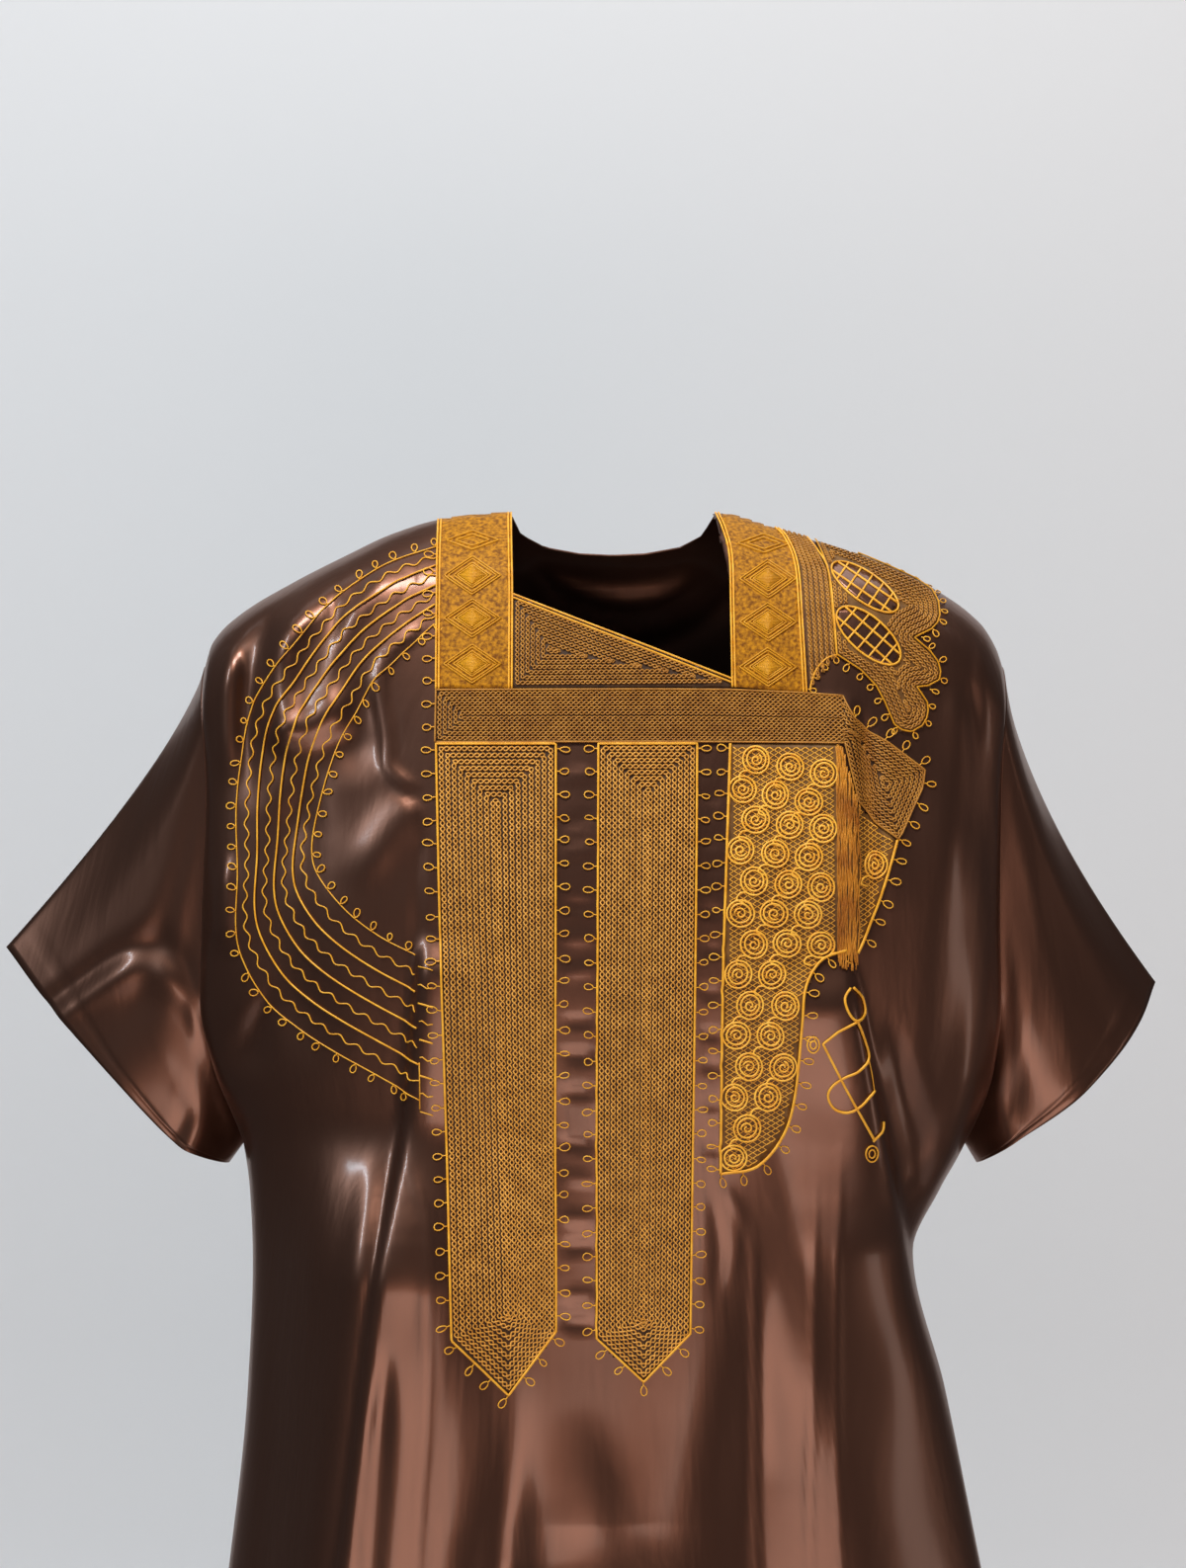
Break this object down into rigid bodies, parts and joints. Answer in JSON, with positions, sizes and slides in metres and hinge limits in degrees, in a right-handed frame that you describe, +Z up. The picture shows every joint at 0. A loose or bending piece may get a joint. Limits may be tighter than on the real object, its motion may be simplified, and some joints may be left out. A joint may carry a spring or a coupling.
{
  "type": "dashiki maxi dress",
  "caption": "Wide ankle-length satin dress with short dropped sleeves, slanted neck opening and raised gold embroidery on the front, hollow as worn.",
  "frame": {"origin": "midway between the two neck points, on the shoulder line that carries the dress", "axes": "+Z up, -Y towards the front, +X towards the wearer's left side"},
  "size_m": [0.7831, 0.457, 1.4227],
  "materials": {
    "satin": "glossy dark brown satin",
    "gold_thread": "gold viscose thread, chain stitch"
  },
  "bodies": {
    "root": {"front": "satin", "back": "satin", "sleeve_right": "satin", "sleeve_left": "satin", "neck_band_right": "gold_thread", "neck_band_left": "gold_thread", "neck_triangle": "gold_thread", "chest_band": "gold_thread", "knife_outer": "gold_thread", "knife_inner": "gold_thread", "roundel_panel": "gold_thread", "shoulder_lobes": "gold_thread"}
  },
  "joints": []
}
